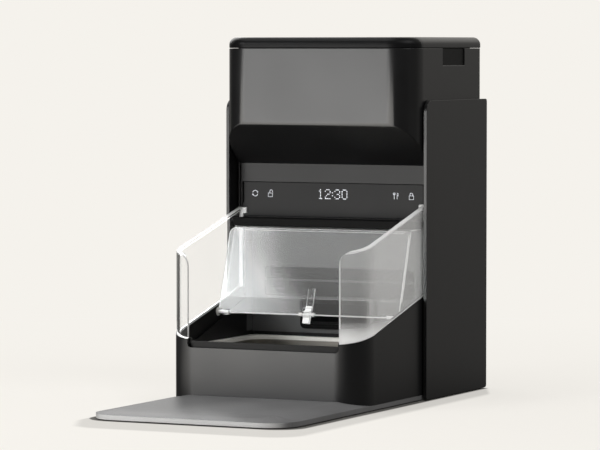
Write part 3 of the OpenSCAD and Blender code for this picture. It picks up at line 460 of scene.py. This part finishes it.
# The bar's near black is painted shade for the dark gap under the display.
gap_painted_shade = moulded("bar_painted_shade", (0.004, 0.004, 0.004), 0.4, grain=0.5, depth=0.06, shine=0.04)
finished("ledge_bar", "root", 0.6, gap_painted_shade)

# Display: a satin fascia holds a smoked touch window flush in its face, with a light board behind it. The
# window is hard-coated acrylic, a little darker than the fascia.
fascia_satin = moulded("fascia_plastic", (0.0135, 0.0135, 0.014), 0.46, grain=0.5, depth=0.08, shine=0.31)
finished("display_fascia", "root", 0.25, fascia_satin)
smoked_grey = (0.0115, 0.0115, 0.012)
smoked = moulded("smoked_window", smoked_grey, 0.4, grain=2.0, depth=0.015, mottle=0.05, shine=0.15)
finished("display_window", "root", 0.3, smoked)


def circuit_board(name, board_y0, board_y1):
    """Green laminate with copper tracks between the planes board_y0 and board_y1, and dark parts off them."""
    material, wire = new_material(name)
    place = wire.node("ShaderNodeTexCoord", output="Object")
    x, y, z = place.split()
    turned = wire.node("ShaderNodeMapping", None, {"Vector": place, "Rotation": (radians(90), 0, 0)})
    tracks = wire.node("ShaderNodeTexBrick", {"offset": 0.5}, {
        "Vector": turned, "Color1": (0.004, 0.07, 0.025, 1), "Color2": (0.006, 0.10, 0.035, 1),
        "Mortar": (0.10, 0.22, 0.06, 1), "Scale": 60.0, "Mortar Size": 0.03,
        "Brick Width": 0.9, "Row Height": 0.18,
    })
    dust = wire.node("ShaderNodeTexNoise", None, {"Vector": place, "Scale": 120.0, "Detail": 3.0})
    board = y.between((board_y0 - 0.06) * mm, (board_y0 - 0.04) * mm) * (
        1 - y.between((board_y1 + 0.04) * mm, (board_y1 + 0.06) * mm))
    wire.node("ShaderNodeBsdfPrincipled", None, {
        "Base Color": board.blend((0.02, 0.02, 0.022), tracks),
        "Roughness": 0.34 + dust * 0.2,
    }).finish()
    return material


dress(["led_board"], circuit_board("light_board", 94.4, 96.0))

# Symbols that shine through the window: a clock in dots, and line symbols for syncing, feeding and the two
# locks. Each is a thin raised mark on the window's front, lit from the board behind.
window_y = fascia_y - 0.02
symbol_z = 199.6
material, wire = new_material("display_light")
place = wire.node("ShaderNodeTexCoord", output="Object")
fade = wire.node("ShaderNodeTexNoise", None, {"Vector": place, "Scale": 900.0, "Detail": 1.0})
glow_colour = fade.between(0.2, 0.8).blend((0.54, 0.56, 0.60), (0.72, 0.74, 0.80))
wire.node("ShaderNodeBsdfPrincipled", None, {
    "Base Color": (0.5, 0.5, 0.5, 1),
    "Roughness": 0.5,
    "Emission Color": glow_colour,
    "Emission Strength": 2.0,
}).finish()
display_light = material


def join_pieces(name, parts):
    """Joins finished parts into one piece with its place in its mesh."""
    bpy.ops.object.select_all(action="DESELECT")
    for part in parts:
        part.select_set(True)
    bpy.context.view_layer.objects.active = parts[0]
    if len(parts) > 1:
        bpy.ops.object.join()
    bpy.ops.object.transform_apply(location=True, rotation=True, scale=True)
    piece = bpy.context.object
    piece.name = name
    return piece


digit_rows = {
    "0": ".###. #...# #...# #...# #...# #...# .###.",
    "1": "..#.. .##.. ..#.. ..#.. ..#.. ..#.. .###.",
    "2": ".###. #...# ....# ..##. .#... #.... #####",
    "3": ".###. #...# ....# ..##. ....# #...# .###.",
    ":": ". . # . # . .",
}
dot_pitch = 1.32
row_pitch = dot_pitch * 1.12
dot_r = 0.44
clock_z = 200.0
clock_columns = 24
dots = []
column = 0
first_x = -0.5 * clock_columns * dot_pitch
for sign in "12:30":
    rows = digit_rows[sign].split()
    for low, row in enumerate(rows):
        for step, mark in enumerate(row):
            if mark == "#":
                dots.append((first_x + (column + step) * dot_pitch, clock_z + (3 - low) * row_pitch))
    column += len(rows[0]) + 1

bpy.ops.object.select_all(action="DESELECT")
bpy.ops.mesh.primitive_circle_add(vertices=10, radius=dot_r * mm, fill_type="NGON",
                                  location=(0, window_y * mm, 0), rotation=(radians(90), 0, 0))
dot = bpy.context.object
bpy.ops.object.mode_set(mode="EDIT")
bpy.ops.mesh.extrude_region_move(TRANSFORM_OT_translate={"value": (0, -0.1 * mm, 0)})
bpy.ops.transform.resize(value=(0.8, 1, 0.8))
bpy.ops.mesh.select_all(action="SELECT")
bpy.ops.mesh.normals_make_consistent(inside=False)
bpy.ops.object.mode_set(mode="OBJECT")
marks = []
for dot_x, dot_z in dots:
    mark = dot.copy()
    mark.data = dot.data.copy()
    mark.location.x = dot_x * mm
    mark.location.z = dot_z * mm
    bpy.context.scene.collection.objects.link(mark)
    marks.append(mark)
bpy.data.objects.remove(dot)
clock = join_pieces("display_clock", marks)
clock.data.materials.append(display_light)
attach(clock, "root")


def stroke(centre_x, points, closed=False, width=0.3, flatness=0.3):
    """A thin flat line over the window, through points given from the symbol's middle."""
    curve = bpy.data.curves.new("symbol_line", "CURVE")
    curve.dimensions = "3D"
    curve.bevel_depth = width / 2 * mm
    curve.bevel_resolution = 2
    run = curve.splines.new("POLY")
    run.points.add(len(points) - 1)
    run.use_cyclic_u = closed
    for knot, (px, pz) in zip(run.points, points):
        knot.co = ((centre_x + px) * mm, window_y * mm, (symbol_z + pz) * mm, 1)
    drawn = bpy.data.objects.new("symbol_line", curve)
    bpy.context.scene.collection.objects.link(drawn)
    bpy.ops.object.select_all(action="DESELECT")
    drawn.select_set(True)
    bpy.context.view_layer.objects.active = drawn
    bpy.ops.object.convert(target="MESH")
    line = bpy.context.object
    line.location.y = window_y * mm * (1 - flatness)
    line.scale.y = flatness
    return line


def arc(cx, cz, r, start, end, steps=10):
    """Points along an arc, its angles in degrees."""
    angles = [radians(start + (end - start) * i / steps) for i in range(steps + 1)]
    return [(cx + r * cos(a), cz + r * sin(a)) for a in angles]


def padlock(centre_x, lift, turn):
    """A padlock, whose shackle is lifted and turned aside where it is open."""
    body = [(-2.4, -3.3), (2.4, -3.3), (2.4, 0.4), (-2.4, 0.4)]
    shackle = [(-1.5 + turn, 0.4), *arc(turn, 1.6 + lift, 1.5, 180, 0), (1.5 + turn, 0.4 + lift * 1.6)]
    return [stroke(centre_x, body, closed=True), stroke(centre_x, shackle)]


sync_x = -86
open_lock_x = -69
feed_x = 69
lock_x = 86
sync_r = 2.9
symbols = []
for turn, side in ((0, 1), (180, -1)):
    tip_x = sync_r * cos(radians(turn + 20))
    tip_z = sync_r * sin(radians(turn + 20))
    barbs = [
        (tip_x - 0.9 * side, tip_z + 0.3 * side),
        (tip_x, tip_z - 0.3 * side),
        (tip_x + 0.4 * side, tip_z + 0.8 * side),
    ]
    symbols.append(stroke(sync_x, arc(0, 0, sync_r, turn + 20, turn + 168)))
    symbols.append(stroke(sync_x, barbs))
symbols += padlock(open_lock_x, 0.5, 0.9)
symbols += padlock(lock_x, 0.0, 0.0)
fork_handle = [(-1.6, -3.2), (-1.6, 3.2)]
fork_tines = [(-2.6, 3.2), (-2.6, 1.2), (-0.6, 1.2), (-0.6, 3.2)]
knife = [(1.5, -3.2), (1.5, 3.2), (2.6, 2.0), (2.6, 0.2), (1.5, 0.0)]
symbols += [stroke(feed_x, line) for line in (fork_handle, fork_tines, knife)]
symbols = join_pieces("display_symbols", symbols)
symbols.data.materials.append(display_light)
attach(symbols, "root")

# Back of the tower: a tall charcoal casing with louvres for the motor's heat and a socket for the supply.
# The main board stands on four posts inside it, and the socket's body is moulded round its contacts.
casing = moulded("casing_plastic", (0.0135, 0.0135, 0.014), 0.42, grain=0.5, depth=0.12)
finished("tower_rear", "root", 0.5, casing)
dress(["main_board"], circuit_board("main_board_laminate", 215.4, 217.0))
material, wire = new_material("socket_shell")
place = wire.node("ShaderNodeTexCoord", output="Object")
x, y, z = place.split()
specks = wire.node("ShaderNodeTexNoise", None, {"Vector": place, "Scale": 700.0, "Detail": 2.0})
bottom = 1 - y.between(214.9 * mm, 215.1 * mm)
wire.node("ShaderNodeBsdfPrincipled", None, {
    "Base Color": bottom.blend((0.010, 0.010, 0.010), (0.30, 0.29, 0.27)),
    "Metallic": bottom,
    "Roughness": 0.42 + (specks - 0.5) * 0.15,
}).finish()
dress(["power_inlet"], material)

# Side panels: two flat charcoal boards that stand just off the tower on small bosses. Their upper front
# corners are rounded, and their narrow front edges catch the light.
panel_plastic = moulded("panel_plastic", (0.011, 0.011, 0.0115), 0.36, grain=0.5, depth=0.08, shine=0.5)
for side in ("left", "right"):
    finished("side_panel_" + side, "root", 0.6, panel_plastic, 3)

# Head: a charcoal shell that holds the hopper and overhangs the display, closed by a lid that lifts off by
# the finger recesses in the shell's sides. A silicone seal and a box of drying agent keep the food crisp.
head_plastic = moulded("head_plastic", (0.0105, 0.0105, 0.011), 0.31, grain=0.5, depth=0.08, shine=0.5)


def in_finger_recess(centre, normal):
    return 103.0 < abs(centre.x) < 104.6 and 100 < centre.y < 198 and centre.z > 327


# The finger recesses in the head's sides are painted near black as painted shade.
second_finish(finished("head_shell", "root", 0.45, head_plastic), recess_painted_shade, in_finger_recess)
cover = finished("top_lid", "hopper_lid", 0.4, head_plastic)
# Painted shade: the cover's front faces are darker and duller than the rest of its moulding.
cover_front_shade = moulded("cover_front_painted_shade", (0.008, 0.008, 0.0084), 0.36, grain=0.5, depth=0.08, shine=0.1)
second_finish(cover, cover_front_shade, lambda centre, normal: normal.y < -0.2)
dress(["lid_seal"], moulded("silicone", (0.42, 0.42, 0.41), 0.6, grain=0.3, depth=0.05, mottle=0.05))
dress(["desiccant_box"], moulded("box_plastic", (0.66, 0.66, 0.64), 0.42, mottle=0.04))

# Dosing: the food runs from the funnelled hopper into a drum, where a soft rotor counts it out by the
# pocket, and slides down the chute to the outlet. The rotor is driven by a geared motor beside the drum.
hopper_grey = moulded("hopper_plastic", (0.30, 0.31, 0.32), 0.36, mottle=0.05)
dress(["hopper_bin", "rotor_housing"], hopper_grey)
dress(["rotor"], moulded("rotor_rubber", (0.58, 0.58, 0.56), 0.62, grain=0.4, depth=0.15, mottle=0.06))
dress(["dispense_motor"], motor_finish("dispense_motor_shell", gearbox_x=48.4, can_x=48.6))
# The chute is near black, which paints the shade inside the outlet.
dress(["chute"], moulded("chute_painted_shade", (0.004, 0.004, 0.0041), 0.42, mottle=0.05, shine=0.1))

# Floor: pale paper, which shows at its own colour. A painted contact shadow makes it near black where the
# platform stands on it, and a painted shadow makes it a little grey ahead of the platform. The glossy fronts
# mirror a painted bright pool on it.
backdrop = (0.913, 0.888, 0.84)
view_turn = radians(26)
bpy.ops.object.select_all(action="DESELECT")
bpy.ops.mesh.primitive_plane_add(size=40, location=(0, 0, 0))
floor = bpy.context.object
floor.name = "floor"


def background_rays(wire):
    """1 for rays that see the background as it is: the camera's, also through clear pieces."""
    camera_ray = wire.node("ShaderNodeLightPath", output="Is Camera Ray")
    through_ray = wire.node("ShaderNodeLightPath", output="Is Transmission Ray")
    mirrored = wire.node("ShaderNodeLightPath", output="Glossy Depth")
    return camera_ray.at_least(through_ray * (1 - mirrored.between(0.0, 1.0)))


def along(place, east, north):
    """How far place lies in a level direction."""
    settings = {"operation": "DOT_PRODUCT"}
    return place.node("ShaderNodeVectorMath", settings, {0: place, 1: (east, north, 0.0)}, "Value")


def footprint(x, y, half, front, soft):
    """1 inside an endless strip whose two front corners are rounded as the platform's are."""
    aside = (abs(x) - (half - platform_corner)).at_least(0.0)
    ahead = (front + platform_corner - y).at_least(0.0)
    return 1 - ((aside ** 2 + ahead ** 2) ** 0.5).between(platform_corner - soft, platform_corner + soft)


material, wire = new_material("floor_paper")
place = wire.node("ShaderNodeTexCoord", output="Object")
x, y, z = place.split()

contact_half = platform_half + 0.5 * mm
contact_front = platform_front - 1.8 * mm
# Painted contact shadow: near black under the platform.
contact_shadow = footprint(x, y, contact_half, contact_front, 1.2 * mm)
contact_right = x.between(60 * mm, 90 * mm) * (1 - x.between(platform_half + 1 * mm, platform_half + 6 * mm))
contact_shadow = contact_shadow.at_least(contact_right * footprint(x - 3 * mm, y, contact_half, contact_front, 3 * mm))
contact_shadow = contact_shadow * (1 - y.between(platform_back - 3 * mm, platform_back - 1 * mm))

shade_right = 28 * mm
shade_ahead = 58 * mm
shade_soft = 6 * mm
slant = shade_right / shade_ahead
left_line = -platform_half + slant * platform_front
back_line = platform_back + platform_half / slant
right_line = platform_half + shade_right
front_left = -93 * mm
front_middle = (front_left + right_line) / 2
front_half = (right_line - front_left) / 2
# Painted shadow: a grey band that falls ahead of the platform and to its right.
shade_front = footprint(x - front_middle, y, front_half, platform_front - shade_ahead, shade_soft)
shade_side = (x + slant * y).between(left_line - shade_soft, left_line + shade_soft)
shade_side *= 1 - x.between(right_line - shade_soft, right_line + shade_soft)
shade_side *= 1 - (y + x / slant).between(back_line - shade_soft, back_line + shade_soft)
shade_side *= x.between(-platform_half - 2 * mm, -platform_half + 2 * mm)
shade_side *= 1 - y.between(platform_back - 2 * mm, platform_back + 2 * mm)
beside = y.between(platform_front - 37 * mm, platform_front - 31 * mm)
shade = shade_front * (1 - beside) + shade_side * beside

ahead = along(place, -sin(view_turn), -cos(view_turn))
behind = along(place, sin(view_turn), cos(view_turn))
across = along(place, cos(view_turn), -sin(view_turn))
# A painted bright pool ahead of the fronts, which glossy rays see, and a fainter one behind.
painted_pool = ahead.between(0.15, 0.45) * (1 - abs(across).between(0.2, 0.5))
seen = background_rays(wire)
glossy_ray = wire.node("ShaderNodeLightPath", output="Is Glossy Ray")
mirror_level = 6.0 * painted_pool - 0.1 + 0.16 * behind.between(0.1, 0.6)
level = seen * (1 - contact_shadow) * (1 - 0.28 * shade) + (1 - seen) * (0.15 + glossy_ray * mirror_level)
paper_colour = (glossy_ray * 0.9).blend(backdrop, (0.0, 0.0, 0.0))
paper = wire.node("ShaderNodeBsdfDiffuse", None, {"Color": paper_colour})
glow = wire.node("ShaderNodeEmission", None, {"Color": (*backdrop, 1), "Strength": level})
reach = wire.node("ShaderNodeVectorMath", {"operation": "LENGTH"}, {0: place}, "Value")
wire.node("ShaderNodeMixShader", None, {0: 0.8 + 0.2 * reach.between(0.3, 1.1), 1: paper, 2: glow}).finish()
floor.data.materials.append(material)

# Backdrop: the same paper colour all round. Glossy pieces mirror a dimmer one, with a pale screen that
# stands behind the object and grows brighter upwards.
world = bpy.data.worlds.new("studio")
bpy.context.scene.world = world
world.use_nodes = True
world.node_tree.nodes.clear()
wire = Wire(world.node_tree)
glossy_ray = wire.node("ShaderNodeLightPath", output="Is Glossy Ray")
heading = wire.node("ShaderNodeTexCoord", output="Generated")
x, y, z = heading.split()
screen = (0.36 + 0.6 * z.between(0.15, 0.4)) * y.between(0.25, 0.6)
seen = background_rays(wire)
level = seen + (1 - seen) * (glossy_ray * (0.035 + screen) + (1 - glossy_ray) * 0.3)
sky = wire.node("ShaderNodeBackground", None, {"Color": (*backdrop, 1), "Strength": level})
output = world.node_tree.nodes.new("ShaderNodeOutputWorld")
world.node_tree.links.new(output.inputs["Surface"], sky.socket)

# Lamps: a wide soft box at the front left for the fronts, others above, behind and on the right, and a
# small card that the open lid mirrors.
def soft_box(name, place, target, width, height, radiance):
    """A soft box that faces target. Its radiance is the brightness that its mirror image has."""
    bpy.ops.object.light_add(type="AREA", location=place)
    lamp = bpy.context.object
    lamp.name = name
    lamp.data.shape = "RECTANGLE"
    lamp.data.size = width
    lamp.data.size_y = height
    lamp.data.energy = radiance * pi * width * height
    lamp.rotation_euler = (Vector(target) - Vector(place)).to_track_quat("-Z", "Y").to_euler()
    lamp.visible_camera = False
    return lamp


def shaped(lamp, strength):
    """Lets a soft box's brightness change over its face."""
    lamp.data.use_nodes = True
    wire = Wire(lamp.data.node_tree)
    wire.tree.nodes.clear()
    place = wire.node("ShaderNodeNewGeometry", output="Position")
    glow = wire.node("ShaderNodeEmission", None, {"Strength": strength(*place.split())})
    output = wire.tree.nodes.new("ShaderNodeOutputLight")
    wire.tree.links.new(output.inputs["Surface"], glow.socket)


def key_strength(x, y, z):
    """Even over the stretch that the fronts mirror, and fading to both sides."""
    across = cos(view_turn) * x - sin(view_turn) * y
    return across.between(-0.42, -0.2) * (1 - across.between(0.3, 0.52))


def card_strength(x, y, z):
    """Bright on its left, and a little brighter towards its top."""
    lean = 0.035 * (1 - z.between(0.85, 0.92))
    return 1.9 * (1 - (x - lean).between(-0.87, -0.755)) + 0.13 * z.between(0.85, 0.95)


shaped(soft_box("key_box", (-0.58, -1.38, 0.2), (0, -0.05, 0.2), 1.0, 0.55, 5.6), key_strength)
soft_box("top_box", (-0.6, -0.2, 1.9), (0, 0, 0), 1.0, 1.0, 3.0)
soft_box("back_box", (-1.15, 1.15, 1.1), (0, 0, 0.1), 1.2, 1.2, 2.2)
soft_box("side_box", (1.25, -0.25, 1.45), (0.1, 0, 0.15), 1.0, 1.0, 4.0)
shaped(soft_box("lid_card", (-0.88, -1.17, 0.86), (0, 0.06, 0.15), 0.6, 0.34, 7.8), card_strength)

# Camera: a long lens 3.4 m away, 26 degrees to the right of the front and level with the top of the object.
# It looks down by just under three degrees.
look_down = radians(2.903)
bpy.ops.object.camera_add(location=(1.5173, -3.0927, 0.3483), rotation=(pi / 2 - look_down, 0, view_turn))
camera = bpy.context.object
camera.data.lens = 213
camera.data.sensor_width = 36
bpy.context.scene.camera = camera
bpy.context.scene.view_settings.view_transform = "Standard"
